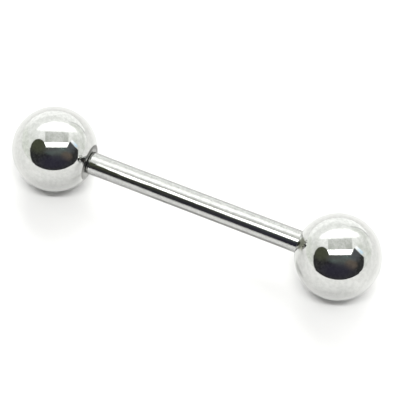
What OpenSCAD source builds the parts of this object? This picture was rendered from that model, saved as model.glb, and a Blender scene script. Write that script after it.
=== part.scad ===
// Straight barbell for a tongue piercing: a round bar with a threaded post at
// each end, and a ball screwed onto each post until it seats on the bar's
// shoulder. It lies on a flat surface on its two balls. The bar runs along X,
// Z is up, and the origin is on the surface, under the middle of the bar.

/* [Bar] */
// Thickness of the bar, 14 gauge
bar_d = 1.6; // [1.2:0.1:2.4]
// Length of the bare bar from shoulder to shoulder
bar_l = 16; // [6:1:30]
// Bevel round the edge of each shoulder
shoulder_bevel = 0.06; // [0.02:0.01:0.07]

/* [Threaded posts] */
// Step from the bar down to the crests of the thread
shoulder_w = 0.1; // [0.1:0.01:0.16]
// Length of each post beyond its shoulder
post_l = 3; // [2:0.1:3.6]
// Distance from one crest of the thread to the next
pitch = 0.3; // [0.2:0.05:0.35]
// Length of the plain neck between a shoulder and its thread
neck_l = 0.25; // [0.15:0.05:0.6]
// Bevel round the tip of each post
tip_bevel = 0.15; // [0.05:0.05:0.25]

/* [Balls] */
// Diameter of each ball
ball_d = 6; // [5:0.5:10]
// Width of the flat seat that shows round the bar
seat_rim = 0.4; // [0.2:0.05:0.8]

/* [Fits] */
// Radial play between a post and the bore of its ball
bore_play = 0.02; // [0.01:0.01:0.03]
// Gap left between a shoulder and the seat of its ball
seat_gap = 0.03; // [0.01:0.01:0.08]
// Spare depth of a bore beyond the tip of its post
bore_spare = 0.2; // [0.05:0.05:0.4]
// Angle of the drill point at the blind end of a bore
drill_angle = 118; // [90:2:140]

/* [Hidden] */
$fn = 96;

// Share of the pitch that a metric thread gives to its depth
thread_share = 0.6134;
// Half the angle between the two flanks of a thread
flank_angle = 30;
steel = [0.76, 0.77, 0.76];

bar_r = bar_d / 2;
crest_r = bar_r - shoulder_w;
thread_h = thread_share * pitch;
root_r = crest_r - thread_h;
flank_l = thread_h * tan(flank_angle);
ridges = floor((post_l - neck_l - tip_bevel) / pitch);

ball_r = ball_d / 2;
seat_r = bar_r + seat_rim;
// Distance from the middle of a ball to its flat seat
seat_h = sqrt(pow(ball_r, 2) - pow(seat_r, 2));
bore_r = crest_r + bore_play;
bore_l = post_l + bore_spare - seat_gap;
drill_l = bore_r / tan(drill_angle / 2);

shoulder_x = bar_l / 2;
ball_x = shoulder_x + seat_gap + seat_h;
// Height of the bar's axis, for the balls to rest on the surface
axis_z = ball_r;

// Outline of one ridge of the thread whose foot starts at z
function ridge(z) = [
    [root_r, z],
    [crest_r, z + flank_l],
    [root_r, z + 2 * flank_l],
];

// Outline of one end of the bar, from its shoulder out to the tip of its post
function post_outline() = concat(
    [
        [bar_r, shoulder_x - shoulder_bevel],
        [bar_r - shoulder_bevel, shoulder_x],
        [root_r, shoulder_x],
    ],
    [for (i = [0:ridges - 1]) each ridge(shoulder_x + neck_l + i * pitch)],
    [
        [root_r, shoulder_x + post_l - tip_bevel],
        [root_r - tip_bevel, shoulder_x + post_l],
    ]
);

// Half of the bar, turned about Z, from its middle to the tip of one post
module half_bar() {
    rotate_extrude()
        polygon(concat([[0, 0], [bar_r, 0]], post_outline(), [[0, shoulder_x + post_l]]));
}

module bar() {
    color(steel)
        translate([0, 0, axis_z])
            for (side = [-1, 1])
                rotate([0, 90 * side, 0])
                    half_bar();
}

// Half outline of the blind hole of a ball, from its mouth in to its drill point
module bore_outline() {
    polygon([
        [0, -ball_r],
        [bore_r, -ball_r],
        [bore_r, bore_l - seat_h],
        [0, bore_l - seat_h + drill_l],
    ]);
}

// Half outline of a ball whose seat and bore face -Y
module ball_outline() {
    difference() {
        intersection() {
            circle(r = ball_r);
            translate([0, -seat_h])
                square([ball_r, seat_h + ball_r]);
        }
        bore_outline();
    }
}

// A ball with its middle at the origin and its seat facing +X. The seam of the
// turned outline is on top, clear of the surface that the ball rests on.
module ball() {
    rotate([0, -90, 0])
        rotate_extrude()
            ball_outline();
}

module ball_left() {
    color(steel)
        translate([-ball_x, 0, axis_z])
            ball();
}

module ball_right() {
    color(steel)
        translate([ball_x, 0, axis_z])
            rotate([0, 0, 180])
                ball();
}

bar();
ball_left();
ball_right();
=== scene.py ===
"""A polished steel tongue barbell lying on its two balls, on a white floor in a light tent."""

import math

import bmesh
import bpy
from bpy.props import FloatProperty, FloatVectorProperty, IntProperty, PointerProperty
from mathutils import Matrix, Vector


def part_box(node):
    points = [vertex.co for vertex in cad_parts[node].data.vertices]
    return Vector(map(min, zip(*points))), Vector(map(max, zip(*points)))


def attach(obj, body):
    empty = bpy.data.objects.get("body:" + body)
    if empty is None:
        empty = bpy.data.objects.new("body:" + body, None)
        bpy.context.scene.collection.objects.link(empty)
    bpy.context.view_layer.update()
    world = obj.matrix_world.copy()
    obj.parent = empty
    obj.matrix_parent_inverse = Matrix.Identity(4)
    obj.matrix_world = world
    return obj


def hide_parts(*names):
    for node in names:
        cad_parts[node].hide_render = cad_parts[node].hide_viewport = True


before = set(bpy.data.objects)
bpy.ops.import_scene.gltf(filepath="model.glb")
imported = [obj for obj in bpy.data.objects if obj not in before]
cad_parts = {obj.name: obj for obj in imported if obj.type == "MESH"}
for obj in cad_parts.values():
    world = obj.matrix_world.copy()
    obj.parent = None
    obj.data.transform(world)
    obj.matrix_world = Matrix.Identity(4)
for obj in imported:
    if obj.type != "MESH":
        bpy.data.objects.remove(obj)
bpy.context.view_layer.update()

bl_info = {
    "name": "Tongue barbell",
    "version": (1, 0, 0),
    "blender": (4, 5, 0),
    "location": "3D View > Sidebar > Barbell",
    "description": "Models a straight barbell with two threaded balls and its photo stage",
    "category": "Add Mesh",
}

MM = 0.001

# The solids give the outer sizes
bar_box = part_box("bar")
ball_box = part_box("ball_right")
BALL_R = (ball_box[1].y - ball_box[0].y) / 2
AXIS_Z = BALL_R
BAR_R = (bar_box[1].y - bar_box[0].y) / 2
POST_END_X = bar_box[1].x
BALL_X = ball_box[1].x - BALL_R
SEAT_X = ball_box[0].x
SEAT_R = math.sqrt(BALL_R**2 - (BALL_X - SEAT_X) ** 2)
# Radius over the sharp crests of the solids' thread
CAD_CREST_R = BAR_R - 0.1 * MM
# How far a cutter reaches past the metal that it cuts
OVERCUT = 0.006 * MM
# Points of a mesh that are nearer to each other than this are one
WELD = 1e-7
# Faces that meet at less than this angle are shaded as one surface
SMOOTH_ANGLE = math.radians(28)
# Middle of the rougher spot on the right ball, whose dark colour is a painted reflection, and
# how far from it the edge begins and ends
PAINTED_REFLECTION_SPOT = (SEAT_X + 0.404 * MM, -1.03 * MM, AXIS_Z + 1.56 * MM)
PAINTED_REFLECTION_SPOT_EDGE = (0.34 * MM, 0.56 * MM)

# Distance, width and height of the key light, as the barbell sees it
KEY_DISTANCE = 0.6
KEY_WIDE = math.radians(35)
KEY_TALL = math.radians(4)
# Distance, side as a share of it, and radiance of the lamp that the bar alone mirrors
BAR_LAMP_DISTANCE = 0.17
BAR_LAMP_SPAN = 0.2
BAR_LAMP_RADIANCE = 6
# Depth of the dark room in front of the white card
FRONT_DEPTH = 0.5
# Side of the square card that is laid as the floor, and radiance of what the camera sees past it
FLOOR_SIDE = 2.4
BACKDROP = 1.1
# Middle, length and width of the bar's shade on the card
SHADE_PLACE = (0, -2.2 * MM, 0.02 * MM)
SHADE_LENGTH = 15.6 * MM
SHADE_WIDTH = 4 * MM
# Parts of the sky that give the soft fill light: turns from the camera's side of the object
# towards the right, and heights as sines
FILL_BACK = (math.radians(158), math.radians(162))
FILL_RIGHT = (math.radians(45), math.radians(158))
FILL_LEFT = (math.radians(-135), math.radians(-45))
FILL_TOP = (0.84, 0.89)
FILL_LEFT_RISE = (0.707, 0.978)

# Places in the picture that a mirror ball gives of the tent, in radii from its middle: across
# to the right, and down
KEY_PLACE = (-0.01, -0.11)
BAR_LAMP_PLACE = (-0.252, -0.135)
LAMP_DOWN = (-0.15, -0.053)
PANEL_ACROSS = (-0.226, 0.315)
PANEL_DOWN = (-0.4, -0.155)
# The patches in the dark room there: middle, radii and radiance
ROOM_PATCHES = (
    ((0.08, 0.04), (0.26, 0.12), (0.2, 0.26, 0.25)),
    ((0.12, 0.15), (0.2, 0.12), (0.14, 0.15, 0.14)),
    ((-0.1, -0.04), (0.22, 0.1), (0.13, 0.13, 0.13)),
    ((0.28, 0.17), (0.13, 0.11), (0.2, 0.16, 0.13)),
    ((-0.37, -0.13), (0.2, 0.2), (0.11, 0.12, 0.075)),
    ((0.37, -0.08), (0.12, 0.16), (0.15, 0.16, 0.17)),
    ((-0.02, 0.3), (0.34, 0.16), (0.045, 0.042, 0.068)),
)


class BarSizes(bpy.types.PropertyGroup):
    """Sizes of the bar and its threaded posts"""

    radius: FloatProperty(
        name="Radius", description="Radius of the bare bar", default=BAR_R, unit="LENGTH", precision=6
    )
    shoulder_x: FloatProperty(
        name="Shoulder",
        description="Distance of each shoulder from the middle of the bar",
        default=SEAT_X - 0.03 * MM,
        unit="LENGTH",
        precision=6,
    )
    shoulder_bevel: FloatProperty(
        name="Shoulder bevel",
        description="Width of the rounded edge of each shoulder",
        default=0.06 * MM,
        unit="LENGTH",
        precision=6,
    )
    post_end_x: FloatProperty(
        name="Post end",
        description="Distance of each post's tip from the middle of the bar",
        default=POST_END_X,
        unit="LENGTH",
        precision=6,
    )
    tip_bevel: FloatProperty(
        name="Tip bevel",
        description="Width of the bevel round the tip of each post",
        default=0.15 * MM,
        unit="LENGTH",
        precision=6,
    )
    neck: FloatProperty(
        name="Neck",
        description="Length of the plain neck between a shoulder and its thread",
        default=0.25 * MM,
        unit="LENGTH",
        precision=6,
    )
    sides: IntProperty(name="Sides", description="Facets round the bar", default=160)


class ThreadSizes(bpy.types.PropertyGroup):
    """Sizes of the thread on the posts and in the balls"""

    pitch: FloatProperty(
        name="Pitch",
        description="Distance from crest to crest",
        default=0.3 * MM,
        unit="LENGTH",
        precision=6,
    )
    crest: FloatProperty(
        name="Crest radius",
        description="Radius of a post over the flattened crests of its thread",
        default=0.685 * MM,
        unit="LENGTH",
        precision=6,
    )
    root: FloatProperty(
        name="Root radius",
        description="Radius of a post at the root of its thread",
        default=0.516 * MM,
        unit="LENGTH",
        precision=6,
    )
    play: FloatProperty(
        name="Play",
        description="Radial play between the thread of a post and that of its ball",
        default=0.02 * MM,
        unit="LENGTH",
        precision=6,
    )
    flank: FloatProperty(
        name="Flank angle",
        description="Half the angle between the two flanks of a groove",
        default=math.radians(30),
        subtype="ANGLE",
    )
    steps: IntProperty(name="Steps", description="Facets in one turn of the thread", default=64)


class BallSizes(bpy.types.PropertyGroup):
    """Sizes of the two balls"""

    radius: FloatProperty(
        name="Radius", description="Radius of each ball", default=BALL_R, unit="LENGTH", precision=6
    )
    middle_x: FloatProperty(
        name="Middle",
        description="Distance of each ball's middle from the middle of the bar",
        default=BALL_X,
        unit="LENGTH",
        precision=6,
    )
    seat_x: FloatProperty(
        name="Seat",
        description="Distance of each ball's flat seat from the middle of the bar",
        default=SEAT_X,
        unit="LENGTH",
        precision=6,
    )
    rim_bevel: FloatProperty(
        name="Rim bevel",
        description="Width of the rounded edge round the seat",
        default=0.04 * MM,
        unit="LENGTH",
        precision=6,
    )
    bore_depth: FloatProperty(
        name="Bore depth",
        description="Depth of the threaded hole from the seat to its drill point",
        default=3.17 * MM,
        unit="LENGTH",
        precision=6,
    )
    relief: FloatProperty(
        name="Relief",
        description="Depth of the plain mouth of the threaded hole",
        default=0.4 * MM,
        unit="LENGTH",
        precision=6,
    )
    drill_angle: FloatProperty(
        name="Drill angle",
        description="Angle of the drill point at the blind end of the hole",
        default=math.radians(118),
        subtype="ANGLE",
    )
    sides: IntProperty(name="Sides", description="Facets round each ball", default=224)


class SteelFinish(bpy.types.PropertyGroup):
    """Finish of the steel"""

    colour: FloatVectorProperty(
        name="Colour",
        description="Reflectance of the polished steel",
        default=(0.6, 0.605, 0.59),
        subtype="COLOR",
        min=0,
        max=1,
    )
    cut_colour: FloatVectorProperty(
        name="Cut colour",
        description="Reflectance of the threads and seats, which are cut and not polished",
        default=(0.34, 0.34, 0.325),
        subtype="COLOR",
        min=0,
        max=1,
    )
    # The dark colour of the rougher spot by the right ball's seat, which is a painted reflection
    painted_reflection_colour: FloatVectorProperty(
        name="Dull colour",
        description="Reflectance of the darkened spot by the seat of the right ball",
        default=(0.24, 0.245, 0.19),
        subtype="COLOR",
        min=0,
        max=1,
    )
    roughness: FloatProperty(
        name="Roughness", description="Roughness of the polish", default=0.02, min=0, max=1
    )
    cut_roughness: FloatProperty(
        name="Cut roughness",
        description="Roughness of the threads and seats",
        default=0.24,
        min=0,
        max=1,
    )


class StageSettings(bpy.types.PropertyGroup):
    """Floor, light and camera"""

    floor_colour: FloatVectorProperty(
        name="Floor",
        description="Reflectance of the white floor",
        default=(0.8, 0.8, 0.79),
        subtype="COLOR",
        min=0,
        max=1,
    )
    azimuth: FloatProperty(
        name="Azimuth",
        description="Turn of the camera about the vertical, from straight in front",
        default=math.radians(24.62),
        subtype="ANGLE",
    )
    elevation: FloatProperty(
        name="Elevation",
        description="Height of the camera above the horizon",
        default=math.radians(56),
        subtype="ANGLE",
    )
    distance: FloatProperty(
        name="Distance",
        description="Distance from the camera to the point it looks at",
        default=177.8 * MM,
        unit="LENGTH",
    )
    aim: FloatVectorProperty(
        name="Aim",
        description="The point that the camera looks at",
        default=(0.274 * MM, 0.322 * MM, AXIS_Z),
        subtype="TRANSLATION",
        precision=6,
    )
    focal_length: FloatProperty(
        name="Focal length", description="Focal length of the lens in millimetres", default=231.2
    )
    card_front: FloatProperty(
        name="Card front",
        description="Distance from the barbell to the near edge of the white card that it lies on",
        default=50 * MM,
        unit="LENGTH",
    )
    tent: FloatProperty(
        name="Tent", description="Radiance of the walls of the light tent", default=1.137, min=0
    )
    fill: FloatProperty(
        name="Fill",
        description="Radiance of the brightest part of the soft fill light",
        default=5.3,
        min=0,
    )
    key: FloatProperty(name="Key", description="Radiance of the key light", default=49.5, min=0)


class Number:
    """A socket that holds a number. Python's operators on it add Math nodes."""

    def __init__(self, board, socket):
        self.board = board
        self.socket = socket

    def __add__(self, other):
        return self.board.math("ADD", self, other)

    def __sub__(self, other):
        return self.board.math("SUBTRACT", self, other)

    def __rsub__(self, other):
        return self.board.math("SUBTRACT", other, self)

    def __mul__(self, other):
        return self.board.math("MULTIPLY", self, other)

    def __truediv__(self, other):
        return self.board.math("DIVIDE", self, other)

    def __pow__(self, other):
        return self.board.math("POWER", self, other)

    def __abs__(self):
        return self.board.math("ABSOLUTE", self)

    __radd__ = __add__
    __rmul__ = __mul__


class Board:
    """A node tree under construction."""

    def __init__(self, tree):
        self.tree = tree
        tree.nodes.clear()

    def node(self, kind, settings=None, **sockets):
        """Adds a node, makes its settings and fills its sockets, by name or by s and a number."""
        made = self.tree.nodes.new("ShaderNode" + kind)
        for name, value in (settings or {}).items():
            setattr(made, name, value)
        for name, value in sockets.items():
            key = int(name[1:]) if name[0] == "s" and name[1:].isdigit() else name.replace("_", " ")
            socket = made.inputs[key]
            value = getattr(value, "socket", value)
            if isinstance(value, bpy.types.NodeSocket):
                self.tree.links.new(value, socket)
            else:
                socket.default_value = value
        return made

    def calculated(self, kind, operation, values):
        """A node of the given kind that works out an operation on the values."""
        return self.node(kind, {"operation": operation}, **{f"s{i}": v for i, v in enumerate(values)})

    def math(self, operation, *values):
        """The number that a Math node works out."""
        return Number(self, self.calculated("Math", operation, values).outputs[0])

    def vector(self, operation, *values, output="Vector"):
        """What a Vector Math node works out."""
        return self.calculated("VectorMath", operation, values).outputs[output]

    def length(self, x, y):
        """The length of the line to x and y."""
        return self.math("SQRT", x * x + y * y)

    def dot(self, a, b):
        """The dot product of two vectors."""
        return Number(self, self.vector("DOT_PRODUCT", a, b, output="Value"))

    def step(self, value, low, high):
        """Runs smoothly from 0 where value is low to 1 where it is high."""
        made = self.node(
            "MapRange",
            {"interpolation_type": "SMOOTHSTEP"},
            Value=value,
            From_Min=low,
            From_Max=high,
        )
        return Number(self, made.outputs["Result"])

    def between(self, value, low, high, soft):
        """1 where value lies between low and high, with soft edges."""
        past_low = self.step(value, low - soft, low + soft)
        past_high = self.step(value, high - soft, high + soft)
        return past_low * (1 - past_high)

    def oval(self, x, y, middle, radii, soft):
        """1 inside an oval, with a soft edge."""
        across = (x - middle[0]) / radii[0]
        down = (y - middle[1]) / radii[1]
        return 1 - self.step(across * across + down * down, 1 - soft, 1 + soft)

    def blend(self, share, under, over):
        """A colour that goes from under to over as share goes from 0 to 1."""
        made = self.node("Mix", {"data_type": "RGBA"}, Factor=share)
        # The colours are inputs 6 and 7, because a Mix node has inputs for other data too
        for socket, value in ((made.inputs[6], under), (made.inputs[7], over)):
            if isinstance(value, bpy.types.NodeSocket):
                self.tree.links.new(value, socket)
            else:
                socket.default_value = (*value, 1) if len(value) == 3 else value
        return made.outputs[2]

    def parts(self, vector):
        """The x, y and z of a vector."""
        made = self.node("SeparateXYZ", s0=vector)
        return [Number(self, output) for output in made.outputs]

    def noise(self, where, scale, detail=2.0, roughness=0.5):
        """Soft noise from 0 to 1, with about scale lumps in each unit of where."""
        made = self.node(
            "TexNoise",
            {"noise_dimensions": "3D"},
            Vector=where,
            Scale=scale,
            Detail=detail,
            Roughness=roughness,
        )
        return Number(self, made.outputs["Fac"])

    def streaks(self, where, scales, detail):
        """Soft noise whose lumps have a scale of their own along each axis."""
        made = self.node("Mapping", {"vector_type": "POINT"}, Vector=where, Scale=scales)
        return self.noise(made.outputs["Vector"], 1.0, detail)


def new_material(name):
    """A new material and the board for its nodes."""
    material = bpy.data.materials.new(name)
    material.use_nodes = True
    return material, Board(material.node_tree)


def times(colour, share):
    """The colour made darker or brighter by share."""
    return tuple(c * share for c in colour)


def metal(board, colour, roughness, height, depth):
    """Ends a material as a metal with a relief of the given depth."""
    bump = board.node("Bump", Strength=1.0, Distance=depth, Height=height)
    shader = board.node(
        "BsdfPrincipled",
        Base_Color=colour,
        Metallic=1.0,
        Roughness=roughness,
        Normal=bump.outputs["Normal"],
    )
    board.node("OutputMaterial", Surface=shader.outputs["BSDF"])


def polished_steel(finish, name, edge, painted_sheen):
    """Mirror-polished steel with faint waves, hairlines and pits, and a rougher spot with a painted
    reflection.

    It has painted shade: it dims where it turns away from the eye, from the first to the second
    value of Layer Weight in edge. Just before that it has a painted sheen: it brightens a little,
    by the share given after edge.
    """
    material, board = new_material(name)
    where = board.node("TexCoord").outputs["Object"]
    waves = board.noise(where, scale=420, detail=1.0)
    haze = board.noise(where, scale=900, detail=3.0)
    mottle = board.noise(where, scale=3800, detail=3.0, roughness=0.6)
    pits = board.step(board.noise(where, scale=5200, detail=2.0), 0.74, 0.8)
    along = board.step(board.streaks(where, (9000, 70000, 70000), detail=1.0), 0.62, 0.7)
    across = board.step(board.streaks(where, (60000, 8000, 60000), detail=1.0), 0.64, 0.72)
    hairlines = along + across
    from_painted_reflection_spot = Number(board, board.vector("DISTANCE", where, PAINTED_REFLECTION_SPOT, output="Value"))
    painted_reflection_spot = 1 - board.step(from_painted_reflection_spot + 0.5 * MM * (mottle - 0.5), *PAINTED_REFLECTION_SPOT_EDGE)
    facing = board.node("LayerWeight", Blend=0.5).outputs["Facing"]

    steel = tuple(finish.colour)
    colour = board.blend(board.step(haze, 0.35, 0.7), steel, times(steel, 0.94))
    colour = board.blend(0.4 * board.step(mottle, 0.35, 0.65), colour, times(steel, 0.7))
    colour = board.blend(pits, colour, times(steel, 0.7))
    # Painted sheen: a brighter band just inside the edge, then painted shade that dims the steel at
    # the edge
    painted_sheen_band = board.step(facing, edge[0] - 0.2, edge[0])
    colour = board.blend(painted_sheen_band * painted_sheen, colour, times(steel, 1.12))
    colour = board.blend(board.step(facing, *edge), colour, times(steel, 0.62))
    # Painted reflection: the dark colour of the rougher spot by the right ball's seat
    colour = board.blend(0.9 * painted_reflection_spot, colour, tuple(finish.painted_reflection_colour))
    roughness = finish.roughness + 0.02 * haze + 0.05 * hairlines + 0.1 * pits + 0.08 * painted_reflection_spot
    height = waves * 10 - hairlines * 0.04 - pits * 0.6
    metal(board, colour, roughness, height, depth=0.0004 * MM)
    return material


def cut_steel(finish):
    """Steel as the tool left it, with fine turned rings, and painted shade on the seats, darkest at
    their rims.
    """
    material, board = new_material("cut_steel")
    where = board.node("TexCoord").outputs["Object"]
    rings = board.streaks(where, (90000, 900, 900), detail=2.0)
    spots = board.noise(where, scale=2500, detail=3.0)
    steel = tuple(finish.cut_colour)
    colour = board.blend(spots, steel, times(steel, 0.75))
    # Painted shade on the seats, darkest at their rims
    colour = board.blend(seat_painted_shade(board, where), colour, times(steel, 0.15))
    roughness = finish.cut_roughness + 0.12 * rings
    metal(board, colour, roughness, rings, depth=0.002 * MM)
    return material


def seat_painted_shade(board, where):
    """Painted shade on the seats of the balls, strongest at the rim and towards the upper back."""
    x, y, z = board.parts(where)
    height = z - AXIS_Z
    seat = 1 - board.step(abs(abs(x) - SEAT_X), 0.02 * MM, 0.05 * MM)
    seat = seat * board.step(abs(x), SEAT_X - 0.015 * MM, SEAT_X - 0.005 * MM)
    rim = 0.15 + 0.6 * board.step(board.length(y, height), SEAT_R - 0.26 * MM, SEAT_R - 0.1 * MM)
    behind = 0.25 + 0.75 * board.step(0.8 * y + 0.6 * height, -0.55 * MM, 0.25 * MM)
    return seat * rim * behind


def select_none():
    """Deselects every object."""
    bpy.ops.object.select_all(action="DESELECT")


def pick(piece):
    """Makes piece the only selected object, and the active one."""
    select_none()
    piece.select_set(True)
    bpy.context.view_layer.objects.active = piece


def settle(piece):
    """Moves the object's place into its mesh, so that the object sits at the origin."""
    pick(piece)
    bpy.ops.object.transform_apply(location=True, rotation=True, scale=True)


def select_faces(piece, wanted):
    """In edit mode, selects only the faces whose middle and normal pass wanted."""
    mesh = bmesh.from_edit_mesh(piece.data)
    bpy.ops.mesh.select_all(action="DESELECT")
    for face in mesh.faces:
        if wanted(face.calc_center_median(), face.normal):
            face.select_set(True)
    mesh.select_flush_mode()
    bmesh.update_edit_mesh(piece.data)


def select_edges(piece, wanted):
    """In edit mode, selects only the edges whose two ends pass wanted."""
    bpy.ops.mesh.select_mode(type="EDGE")
    mesh = bmesh.from_edit_mesh(piece.data)
    bpy.ops.mesh.select_all(action="DESELECT")
    for edge in mesh.edges:
        if all(wanted(vert.co) for vert in edge.verts):
            edge.select_set(True)
    bmesh.update_edit_mesh(piece.data)


def distance_from_axis(point):
    """How far a point is from the X axis."""
    return math.hypot(point.y, point.z)


def near(value, goal, slack=0.002 * MM):
    """Whether value is goal, but for the rounding of a mesh."""
    return abs(value - goal) < slack


def select_ring(piece, x, radius):
    """Selects the edges that run round the X axis with the given radius, at x on either side."""
    select_edges(piece, lambda co: near(abs(co.x), x) and near(distance_from_axis(co), radius))


def apply_modifier(piece, kind, **settings):
    """Adds a modifier to the piece, sets it and applies it."""
    pick(piece)
    bpy.ops.object.modifier_add(type=kind)
    modifier = piece.modifiers[-1]
    for name, value in settings.items():
        setattr(modifier, name, value)
    bpy.ops.object.modifier_apply(modifier=modifier.name)


def helix_cutter(name, start_x, turns, inner, outer, inner_width, outer_width, thread):
    """A closed bar of four-sided section wound round the X axis as a right-hand thread."""
    select_none()
    middle = (start_x, 0, (inner + outer) / 2)
    bpy.ops.mesh.primitive_plane_add(size=1, location=middle, rotation=(math.pi / 2, 0, 0))
    cutter = bpy.context.object
    cutter.name = name
    cutter.scale = (outer_width, outer - inner, 1)
    settle(cutter)
    bpy.ops.object.mode_set(mode="EDIT")
    select_edges(cutter, lambda co: near(co.z, inner))
    bpy.ops.transform.resize(
        value=(inner_width / outer_width, 1, 1),
        center_override=(start_x, 0, inner),
        orient_type="GLOBAL",
    )
    bpy.ops.mesh.select_all(action="SELECT")
    bpy.ops.mesh.delete(type="ONLY_FACE")
    bpy.ops.object.mode_set(mode="OBJECT")
    apply_modifier(
        cutter,
        "SCREW",
        axis="X",
        angle=2 * math.pi,
        screw_offset=thread.pitch,
        iterations=turns,
        steps=thread.steps,
        render_steps=thread.steps,
        use_merge_vertices=False,
    )
    bpy.ops.object.mode_set(mode="EDIT")
    bpy.ops.mesh.select_all(action="SELECT")
    bpy.ops.mesh.remove_doubles(threshold=WELD)
    bpy.ops.mesh.fill_holes(sides=8)
    bpy.ops.mesh.select_all(action="SELECT")
    bpy.ops.mesh.normals_make_consistent(inside=False)
    bpy.ops.object.mode_set(mode="OBJECT")
    return cutter


def cut(piece, cutter):
    """Takes the cutter out of the piece, and deletes the cutter."""
    apply_modifier(piece, "BOOLEAN", operation="DIFFERENCE", solver="EXACT", object=cutter)
    bpy.data.objects.remove(cutter)


def finish_piece(piece, polished, cut_metal, is_cut):
    """Lifts the piece to its height, smooths it and gives each face its steel."""
    bpy.ops.object.mode_set(mode="OBJECT")
    piece.location.z += AXIS_Z
    settle(piece)
    bpy.ops.object.shade_smooth_by_angle(angle=SMOOTH_ANGLE)
    piece.data.materials.clear()
    piece.data.materials.append(polished)
    piece.data.materials.append(cut_metal)
    for face in piece.data.polygons:
        face.material_index = 1 if is_cut(face.center) else 0


def pull(length):
    """Pulls the selected end face out along X, with a wall behind it."""
    bpy.ops.mesh.extrude_region_move(TRANSFORM_OT_translate={"value": (length, 0, 0)})


def resize(ratio):
    """Widens or narrows the selected end face about the X axis."""
    bpy.ops.transform.resize(value=(1, ratio, ratio), center_override=(0, 0, 0))


class BARBELL_OT_bar(bpy.types.Operator):
    """Model the bar with a threaded post at each end"""

    bl_idname = "barbell.bar"
    bl_label = "Bar"
    bl_options = {"REGISTER", "UNDO"}

    def execute(self, context):
        bar = context.scene.barbell_bar
        thread = context.scene.barbell_thread
        finish = context.scene.barbell_finish
        select_none()
        bpy.ops.mesh.primitive_cylinder_add(
            vertices=bar.sides,
            radius=bar.radius,
            depth=2 * bar.shoulder_x,
            rotation=(0, math.pi / 2, 0),
        )
        piece = context.object
        piece.name = "polished_bar"
        settle(piece)
        bpy.ops.object.mode_set(mode="EDIT")
        for side in (-1, 1):
            self.pull_post(piece, bar, thread, side)
        select_ring(piece, bar.shoulder_x, bar.radius)
        bpy.ops.mesh.bevel(offset=bar.shoulder_bevel, segments=4, affect="EDGES")
        select_ring(piece, bar.post_end_x, thread.crest)
        bpy.ops.mesh.bevel(offset=bar.tip_bevel, segments=1, affect="EDGES")
        bpy.ops.object.mode_set(mode="OBJECT")
        self.cut_threads(piece, bar, thread)
        finish_piece(
            piece,
            # Painted shade at the edges of the bar, and no painted sheen
            polished_steel(finish, "polished_bar_steel", edge=(0.35, 0.85), painted_sheen=0.0),
            cut_steel(finish),
            lambda middle: abs(middle.x) > bar.shoulder_x + 0.01 * MM,
        )
        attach(piece, "bar")
        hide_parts("bar")
        return {"FINISHED"}

    def pull_post(self, piece, bar, thread, side):
        """Pulls the neck and the blank of one post out of the end of the bar."""
        bpy.ops.mesh.select_mode(type="FACE")
        select_faces(piece, lambda middle, normal: near(side * middle.x, bar.shoulder_x))
        pull(0)
        resize(thread.root / bar.radius)
        pull(side * bar.neck)
        pull(0)
        resize(thread.crest / thread.root)
        pull(side * (bar.post_end_x - bar.shoulder_x - bar.neck))

    def cut_threads(self, piece, bar, thread):
        """Cuts the thread of the right post, and the same thread turned about for the left one."""
        slope = 2 * math.tan(thread.flank)
        outer = thread.crest + OVERCUT
        root_width = thread.pitch - slope * (CAD_CREST_R - thread.root)
        for side in (-1, 1):
            cutter = helix_cutter(
                "groove",
                start_x=bar.shoulder_x + bar.neck,
                turns=math.ceil((bar.post_end_x - bar.shoulder_x) / thread.pitch),
                inner=thread.root,
                outer=outer,
                inner_width=root_width,
                outer_width=root_width + slope * (outer - thread.root),
                thread=thread,
            )
            if side < 0:
                turn_about(cutter)
            cut(piece, cutter)


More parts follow.
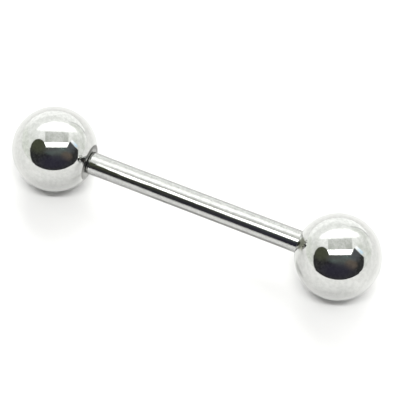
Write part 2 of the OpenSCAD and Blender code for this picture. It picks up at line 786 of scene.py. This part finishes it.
class BARBELL_OT_balls(bpy.types.Operator):
    """Model the right ball, and turn a copy of it about for the left one"""

    bl_idname = "barbell.balls"
    bl_label = "Balls"
    bl_options = {"REGISTER", "UNDO"}

    def execute(self, context):
        ball = context.scene.barbell_ball
        bar = context.scene.barbell_bar
        thread = context.scene.barbell_thread
        finish = context.scene.barbell_finish
        select_none()
        bpy.ops.mesh.primitive_uv_sphere_add(
            segments=ball.sides,
            ring_count=ball.sides // 2,
            radius=ball.radius,
            location=(ball.middle_x, 0, 0),
            rotation=(0, math.pi / 2, 0),
        )
        right = context.object
        right.name = "polished_ball_right"
        settle(right)
        bpy.ops.object.mode_set(mode="EDIT")
        self.shape_seat(right, ball)
        self.sink_bore(right, ball, thread)
        bpy.ops.object.mode_set(mode="OBJECT")
        self.tap(right, ball, bar, thread)
        left = turned_copy(right, "polished_ball_left")
        # Painted shade at the edges of the balls, and a painted sheen just inside them
        polished = polished_steel(finish, "polished_ball_steel", edge=(0.72, 0.92), painted_sheen=0.45)
        cut_metal = bpy.data.materials.get("cut_steel") or cut_steel(finish)

        def is_cut(middle):
            in_bore = math.hypot(middle.y, middle.z - AXIS_Z) < thread.crest + 0.06 * MM
            near_side = abs(middle.x) < ball.middle_x + ball.radius / 2
            return abs(middle.x) < ball.seat_x + ball.rim_bevel or in_bore and near_side

        for piece, node in ((left, "ball_left"), (right, "ball_right")):
            finish_piece(piece, polished, cut_metal, is_cut)
            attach(piece, node)
            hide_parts(node)
        return {"FINISHED"}

    def shape_seat(self, piece, ball):
        """Cuts the flat seat off the ball and rounds its rim."""
        bpy.ops.mesh.select_all(action="SELECT")
        bpy.ops.mesh.bisect(
            plane_co=(ball.seat_x, 0, 0),
            plane_no=(1, 0, 0),
            use_fill=True,
            clear_inner=True,
            threshold=WELD,
        )
        seat_r = math.sqrt(ball.radius**2 - (ball.middle_x - ball.seat_x) ** 2)
        select_ring(piece, ball.seat_x, seat_r)
        bpy.ops.mesh.bevel(offset=ball.rim_bevel, segments=3, affect="EDGES")

    def sink_bore(self, piece, ball, thread):
        """Sinks the blind hole into the seat, with a plain mouth, a cone and a drill point."""
        bpy.ops.mesh.select_mode(type="FACE")
        select_faces(piece, lambda middle, normal: normal.x < -0.99 and near(middle.x, ball.seat_x))
        mouth = self.seat_radius(piece, ball)
        minor = minor_radius(thread)
        plain = CAD_CREST_R + thread.play + OVERCUT
        cone = plain - minor
        pull(0)
        resize(plain / mouth)
        pull(ball.relief)
        pull(cone)
        resize(minor / plain)
        pull(ball.bore_depth - ball.relief - cone)
        pull(minor / math.tan(ball.drill_angle / 2))
        bpy.ops.mesh.merge(type="CENTER")

    def seat_radius(self, piece, ball):
        """Radius of the flat of the seat, inside its rounded rim."""
        mesh = bmesh.from_edit_mesh(piece.data)
        return max(distance_from_axis(v.co) for v in mesh.verts if near(v.co.x, ball.seat_x, WELD))

    def tap(self, piece, ball, bar, thread):
        """Cuts the thread of the bore, which meets that of the post with a little play."""
        slope = 2 * math.tan(thread.flank)
        major = CAD_CREST_R + thread.play
        inner = minor_radius(thread) - OVERCUT
        tip_width = thread.play
        # Half a pitch off the post's grooves, because these grooves go round its ridges
        start = bar.shoulder_x + bar.neck - 2.5 * thread.pitch
        cutter = helix_cutter(
            "tap",
            start_x=start,
            turns=math.ceil((ball.seat_x + ball.bore_depth - start) / thread.pitch) - 1,
            inner=inner,
            outer=major,
            inner_width=tip_width + slope * (major - inner),
            outer_width=tip_width,
            thread=thread,
        )
        cut(piece, cutter)


def minor_radius(thread):
    """Radius of the bore over the crests of its own thread."""
    return thread.root + thread.play


def turn_about(piece):
    """Turns the piece half round about the vertical through the origin."""
    pick(piece)
    bpy.ops.transform.rotate(value=math.pi, orient_axis="Z", center_override=(0, 0, 0))
    settle(piece)


def turned_copy(piece, name):
    """A copy of the piece with its own mesh, turned half round like turn_about."""
    pick(piece)
    bpy.ops.object.duplicate(linked=False)
    copy = bpy.context.object
    copy.name = name
    turn_about(copy)
    return copy


class Camera:
    """The directions of the photo's camera, and places in its picture of a mirror ball."""

    def __init__(self, stage):
        az, el = stage.azimuth, stage.elevation
        self.level_back = Vector((math.sin(az), -math.cos(az), 0))
        self.back = self.level_back * math.cos(el) + Vector((0, 0, math.sin(el)))
        self.right = Vector((math.cos(az), math.sin(az), 0))
        self.up = self.back.cross(self.right)

    def facing(self, toward):
        """The turn of a light out that way that faces the object, level in the picture."""
        level = Matrix((self.right, self.up, self.back)).transposed().to_quaternion()
        return self.back.rotation_difference(toward) @ level

    def mirrored(self, across, down):
        """The direction that a mirror ball shows at a place, in radii from its middle."""
        facing = math.sqrt(1 - across**2 - down**2)
        normal = self.right * across - self.up * down + self.back * facing
        return 2 * facing * normal - self.back


def paint_tent(board, ray, stage, camera):
    """Paints the light tent by where a mirror ball shows each direction, out from its middle."""
    halfway = board.vector("NORMALIZE", board.vector("ADD", ray, tuple(camera.back)))
    wobble = 0.016 * (board.noise(ray, scale=5.0, detail=2.0) - 0.5)
    across = board.dot(halfway, tuple(camera.right)) + wobble
    wobble = 0.016 * (board.noise(ray, scale=7.0, detail=1.0) - 0.5)
    down = board.dot(halfway, tuple(-camera.up)) + wobble
    tent = paint_cloth(board, stage, ray, across, down)
    tent = paint_roof(board, tent, stage, across, down)
    tent = paint_panel(board, tent, stage, ray, across, down)
    opening = dark_opening(board, across, down)
    tent = board.blend(opening, tent, dark_room(board, ray, across, down))
    return paint_lamp(board, tent, stage, across, down)


def tent_grey(stage, share, tint="plain"):
    """The tent's white times share, plain or a little green."""
    colour = {"plain": (0.99, 1.0, 0.985), "green": (0.965, 1.0, 0.93)}[tint]
    return times(colour, stage.tent * share)


def paint_cloth(board, stage, ray, across, down):
    """The cloth of the tent: mottled, brighter up at the edge, with two seams and a dim flank."""
    mottle = board.step(board.noise(ray, scale=3.0, detail=4.0, roughness=0.6), 0.3, 0.7)
    tent = board.blend(mottle, tent_grey(stage, 0.95, "green"), tent_grey(stage, 1.14))
    outward = board.length(across, down)
    up = -1 * down
    ring = board.step(outward, 0.7, 0.82) * board.step(up, -0.25, 0.3)
    tent = board.blend(ring, tent, tent_grey(stage, 1.46))
    inner_seam = board.between(outward, 0.64, 0.66, soft=0.02)
    inner_seam = inner_seam * board.between(across, -0.45, 0.25, soft=0.1)
    outer_seam = board.between(outward, 0.735, 0.75, soft=0.015)
    outer_seam = outer_seam * board.between(across, -0.3, 0.35, soft=0.15)
    seams = (inner_seam + 0.8 * outer_seam) * board.step(up, 0.3, 0.4)
    tent = board.blend(seams, tent, tent_grey(stage, 1.08))
    flank = board.between(across, -0.74, -0.6, soft=0.03)
    flank = flank * board.between(down, -0.5, 0.15, soft=0.1)
    return board.blend(0.8 * flank, tent, tent_grey(stage, 1.03, "green"))


def paint_roof(board, tent, stage, across, down):
    """The bright roof of the tent: a soft glow, an arch, and a dim edge at the upper right."""
    glow = board.oval(across, down, middle=(0.05, -0.47), radii=(0.56, 0.26), soft=0.8)
    tent = board.blend(0.8 * glow, tent, tent_grey(stage, 1.4))
    arch = board.oval(across, down, middle=(0.05, -0.4), radii=(0.46, 0.232), soft=0.16)
    arch = arch * (1 - board.step(down, -0.45, -0.385))
    tent = board.blend(arch, tent, tent_grey(stage, 1.9))
    x = across - 0.28
    y = down + 0.19
    radius = board.length(x, y)
    quarter = board.step(x, -0.02, 0.12) * board.step(-1 * y, 0.12, 0.24)
    shade = board.between(radius, 0.37, 0.45, soft=0.05) * quarter
    tent = board.blend(0.75 * shade, tent, tent_grey(stage, 0.95, "green"))
    line = board.between(radius, 0.455, 0.475, soft=0.012) * quarter
    return board.blend(0.9 * line, tent, tent_grey(stage, 0.72))


def paint_panel(board, tent, stage, ray, across, down):
    """The grey panel over the lamp, mottled and darker towards its lower corners."""
    panel = board.between(across, *PANEL_ACROSS, soft=0.012)
    panel = panel * board.between(down, *PANEL_DOWN, soft=0.014)
    mottle = board.step(board.noise(ray, scale=14.0, detail=3.0, roughness=0.65), 0.35, 0.65)
    corner = board.step(abs(across - 0.03), 0.08, 0.25) * board.step(down, -0.4, -0.2)
    grey = board.blend(mottle, tent_grey(stage, 0.8, "green"), tent_grey(stage, 0.96))
    grey = board.blend(0.75 * corner, grey, tent_grey(stage, 0.6, "green"))
    return board.blend(panel, tent, grey)


def paint_lamp(board, tent, stage, across, down):
    """The bluish light that spills past the opening's slant edge, and the lamp over the camera."""
    along = across + down
    spill = board.between(across - down, 0.56, 0.635, soft=0.02)
    spill = spill * board.between(along, 0.18, 0.47, soft=0.04)
    bluish = board.blend(board.step(along, 0.2, 0.42), (1.75, 1.8, 1.85), (1.0, 1.27, 1.5))
    tent = board.blend(spill, tent, bluish)
    lamp = board.between(down, *LAMP_DOWN, soft=0.012)
    lamp = lamp * board.step(across - 0.45 * down, -0.178, -0.153)
    lamp = lamp * (1 - board.step(across + 0.46 * down, 0.24, 0.265))
    return board.blend(lamp, tent, tent_grey(stage, 6))


def dark_opening(board, across, down):
    """The shape of the dark opening: two lobes joined below, down to the horizon."""
    left_lobe = board.oval(across, down, middle=(-0.375, 0.02), radii=(0.178, 0.25), soft=0.08)
    slant = 1 - board.step(across - down, 0.53, 0.56)
    right_lobe = board.step(across + 0.46 * down, 0.26, 0.285) * board.step(down, -0.2, -0.17)
    right_lobe = right_lobe * slant * (1 - board.step(down, 0, 0.05))
    lobes = board.math("MAXIMUM", left_lobe, right_lobe)
    wide_oval = (across / 0.562) ** 2.0 + abs((down - 0.06) / 0.46) ** 2.6
    below = board.step(down, -0.05, -0.025) * (1 - board.step(wide_oval, 0.96, 1.04)) * slant
    return board.math("MAXIMUM", lobes, below)


def dark_room(board, ray, across, down):
    """What shows in the dark opening: dim greens, browns and violets."""
    mottle = board.step(board.noise(ray, scale=9.0, detail=5.0, roughness=0.7), 0.3, 0.75)
    fine = board.noise(ray, scale=26.0, detail=3.0)
    room = board.blend(mottle, (0.022, 0.023, 0.024), (0.09, 0.09, 0.09))
    for middle, radii, colour in ROOM_PATCHES:
        patch = board.oval(across, down, middle, radii, soft=0.95)
        room = board.blend(patch * (0.35 + 0.9 * fine), room, colour)
    return room


def mirrored_only(piece, name, paint):
    """Lets only reflections see the piece, which glows in the colour that paint gives.

    paint is given the new material's board and Object coordinates, and returns a colour and how
    much of it covers the piece, or None for all of it.
    """
    material, board = new_material(name)
    colour, cover = paint(board, board.node("TexCoord").outputs["Object"])
    surface = board.node("Emission", Color=colour, Strength=1.0).outputs[0]
    if cover is not None:
        clear = board.node("BsdfTransparent").outputs[0]
        surface = board.node("MixShader", s0=cover, s1=clear, s2=surface).outputs[0]
    board.node("OutputMaterial", Surface=surface)
    material.cycles.emission_sampling = "NONE"
    piece.data.materials.append(material)
    piece.visible_camera = False
    piece.visible_diffuse = False
    piece.visible_shadow = False


def shape_light(light, wide, tall, radiance):
    """Makes an area light a rectangle of the given radiance."""
    light.shape = "RECTANGLE"
    light.size = wide
    light.size_y = tall
    light.energy = radiance * wide * tall * math.pi


def collection_of(name, *pieces):
    """A collection of the named pieces."""
    made = bpy.data.collections.new(name)
    for piece in pieces:
        made.objects.link(bpy.data.objects[piece])
    return made


class BARBELL_OT_stage(bpy.types.Operator):
    """Set the white floor, the light tent, the key light and the camera"""

    bl_idname = "barbell.stage"
    bl_label = "Stage"
    bl_options = {"REGISTER", "UNDO"}

    def execute(self, context):
        stage = context.scene.barbell_stage
        camera = Camera(stage)
        self.lay_floor(context, stage)
        self.fill_light(context, stage, camera)
        self.hang_tent(context, stage, camera)
        self.hang_bar_lamp(context, stage, camera)
        self.lay_bar_shade(context)
        self.lay_dark_front(context, stage, camera)
        self.hang_key(context, stage, camera)
        self.set_camera(context, stage, camera)
        context.scene.view_settings.view_transform = "Standard"
        context.scene.view_settings.look = "None"
        return {"FINISHED"}

    def lay_floor(self, context, stage):
        """The white card that the barbell lies on, wide enough to be the backdrop too."""
        select_none()
        bpy.ops.mesh.primitive_plane_add(size=FLOOR_SIDE)
        floor = context.object
        floor.name = "white_floor"
        material, board = new_material("white_card")
        grain = board.noise(board.node("TexCoord").outputs["Object"], scale=3000, detail=2.0)
        pale = tuple(stage.floor_colour)
        colour = board.blend(grain, pale, times(pale, 0.985))
        shader = board.node("BsdfPrincipled", Base_Color=colour, Roughness=0.9)
        shader.inputs["Specular IOR Level"].default_value = 0.0
        board.node("OutputMaterial", Surface=shader.outputs["BSDF"])
        floor.data.materials.append(material)

    def fill_light(self, context, stage, camera):
        """The soft light on the floor from behind and both sides. The steel doesn't mirror it."""
        world = bpy.data.worlds.new("soft_fill")
        context.scene.world = world
        world.cycles_visibility.glossy = False
        world.use_nodes = True
        board = Board(world.node_tree)
        ray = board.node("TexCoord").outputs["Generated"]
        rise = board.dot(ray, (0, 0, 1))
        aside = board.dot(ray, tuple(camera.right))
        ahead = board.dot(ray, tuple(camera.level_back))
        turn = board.math("ARCTAN2", aside, ahead)
        low = 1 - board.step(rise, *FILL_TOP)
        back = board.step(abs(turn), *FILL_BACK) * low
        right = board.between(turn, *FILL_RIGHT, soft=0.05) * low
        left = board.between(turn, *FILL_LEFT, soft=0.05)
        left = left * board.between(rise, *FILL_LEFT_RISE, soft=0.02)
        light = board.blend(back, (0, 0, 0), (1, 1, 0.99))
        light = board.blend(right, light, (0.33, 0.33, 0.33))
        light = board.blend(left, light, (0.34, 0.34, 0.34))
        fill = board.node("Background", Color=light, Strength=stage.fill)
        shown = board.node("Background", Color=(1, 1, 1, 1), Strength=BACKDROP)
        seen = board.node("LightPath").outputs["Is Camera Ray"]
        mixed = board.node("MixShader", s0=seen, s1=fill.outputs[0], s2=shown.outputs[0])
        board.node("OutputWorld", Surface=mixed.outputs[0])

    def hang_tent(self, context, stage, camera):
        """The tent as the steel mirrors it, as far off as the camera. Nothing else sees it."""
        select_none()
        bpy.ops.mesh.primitive_uv_sphere_add(
            segments=96, ring_count=48, radius=stage.distance, location=stage.aim
        )
        tent = context.object
        tent.name = "light_tent"
        bpy.ops.object.shade_smooth()

        def paint(board, place):
            return paint_tent(board, board.vector("NORMALIZE", place), stage, camera), None

        mirrored_only(tent, "tent_cloth", paint)

    def hang_bar_lamp(self, context, stage, camera):
        """The left end of the lamp over the camera, as the slim bar alone mirrors it."""
        toward = camera.mirrored(*BAR_LAMP_PLACE)
        place = Vector(stage.aim) + toward * BAR_LAMP_DISTANCE
        bpy.ops.object.light_add(type="AREA", location=place)
        lamp = context.object
        lamp.name = "bar_lamp"
        lamp.rotation_mode = "QUATERNION"
        lamp.rotation_quaternion = camera.facing(toward)
        side = BAR_LAMP_SPAN * BAR_LAMP_DISTANCE
        shape_light(lamp.data, side, side, BAR_LAMP_RADIANCE)
        lamp.visible_camera = False
        lamp.visible_diffuse = False
        lamp.light_linking.receiver_collection = collection_of("lamp_receivers", "polished_bar")

    def lay_bar_shade(self, context):
        """The soft shade that the bar lays on the white card, as the steel mirrors it."""
        select_none()
        bpy.ops.mesh.primitive_plane_add(size=1, location=SHADE_PLACE)
        shade = context.object
        shade.name = "bar_shade"
        shade.scale = (SHADE_LENGTH, SHADE_WIDTH, 1)

        def paint(board, place):
            along, aside, _ = board.parts(place)
            cover = board.step(along, -0.55, -0.15) * (1 - board.step(along, 0.4, 0.5))
            cover = cover * board.between(aside, -0.3, 0.3, soft=0.15)
            facing = board.node("LayerWeight", Blend=0.5).outputs["Facing"]
            grain = board.noise(place, scale=30.0, detail=3.0)
            grey = board.blend(grain, (0.62, 0.62, 0.61), (0.72, 0.72, 0.7))
            return grey, cover * (1 - board.step(facing, 0.22, 0.36))

        mirrored_only(shade, "shaded_card", paint)

    def lay_dark_front(self, context, stage, camera):
        """The dark room in front of the white card's near edge, as the steel mirrors it."""
        middle = Vector(stage.aim) + camera.level_back * (stage.card_front + FRONT_DEPTH / 2)
        middle.z = 0.1 * MM
        select_none()
        bpy.ops.mesh.primitive_plane_add(size=1, location=middle, rotation=(0, 0, stage.azimuth))
        front = context.object
        front.name = "dark_front"
        front.scale = (4 * FRONT_DEPTH, FRONT_DEPTH, 1)

        def paint(board, place):
            aside, behind, _ = board.parts(place)
            ahead = stage.card_front / FRONT_DEPTH + 0.5 - behind
            cover = 1 - board.step(abs(4 * aside / ahead + 0.07), 1.18, 1.32)
            mottle = board.noise(place, scale=6.0, detail=4.0)
            return board.blend(mottle, (0.03, 0.03, 0.035), (0.08, 0.08, 0.09)), cover

        mirrored_only(front, "dark_room", paint)

    def hang_key(self, context, stage, camera):
        """A wide low strip over the camera, whose light the slim bar doesn't block."""
        toward = camera.mirrored(*KEY_PLACE)
        bpy.ops.object.light_add(type="AREA", location=toward * KEY_DISTANCE)
        key = context.object
        key.name = "key_strip"
        key.rotation_mode = "QUATERNION"
        key.rotation_quaternion = toward.to_track_quat("Z", "Y")
        key.visible_glossy = False
        wide = 2 * KEY_DISTANCE * math.tan(KEY_WIDE / 2)
        tall = 2 * KEY_DISTANCE * math.tan(KEY_TALL / 2)
        shape_light(key.data, wide, tall, stage.key)
        balls = collection_of("key_blockers", "polished_ball_left", "polished_ball_right")
        key.light_linking.blocker_collection = balls

    def set_camera(self, context, stage, camera):
        """The photo's camera, with a long lens."""
        aim = Vector(stage.aim)
        bpy.ops.object.camera_add(location=aim + camera.back * stage.distance)
        photo_camera = context.object
        photo_camera.name = "photo_camera"
        photo_camera.rotation_mode = "QUATERNION"
        photo_camera.rotation_quaternion = (-camera.back).to_track_quat("-Z", "Y")
        photo_camera.data.lens = stage.focal_length
        photo_camera.data.sensor_width = 36
        photo_camera.data.clip_start = 0.01
        photo_camera.data.clip_end = 10
        context.scene.camera = photo_camera


class BARBELL_PT_panel(bpy.types.Panel):
    """Lists the pieces and the stage"""

    bl_label = "Barbell"
    bl_idname = "BARBELL_PT_panel"
    bl_space_type = "VIEW_3D"
    bl_region_type = "UI"
    bl_category = "Barbell"

    def draw(self, context):
        layout = self.layout
        for operator in (BARBELL_OT_bar, BARBELL_OT_balls, BARBELL_OT_stage):
            layout.operator(operator.bl_idname)
        for name, group in SETTINGS.items():
            box = layout.box()
            settings = getattr(context.scene, name)
            for key in group.__annotations__:
                box.prop(settings, key)


SETTINGS = {
    "barbell_bar": BarSizes,
    "barbell_thread": ThreadSizes,
    "barbell_ball": BallSizes,
    "barbell_finish": SteelFinish,
    "barbell_stage": StageSettings,
}
CLASSES = (*SETTINGS.values(), BARBELL_OT_bar, BARBELL_OT_balls, BARBELL_OT_stage, BARBELL_PT_panel)


def register():
    """Registers the classes, and gives every scene their settings."""
    for made in CLASSES:
        bpy.utils.register_class(made)
    for name, group in SETTINGS.items():
        setattr(bpy.types.Scene, name, PointerProperty(type=group))


def unregister():
    """Takes the settings and the classes away again."""
    for name in SETTINGS:
        delattr(bpy.types.Scene, name)
    for made in reversed(CLASSES):
        bpy.utils.unregister_class(made)


def main():
    """Models the barbell on its stage."""
    register()
    bpy.ops.barbell.bar()
    bpy.ops.barbell.balls()
    bpy.ops.barbell.stage()


if __name__ == "__main__":
    main()
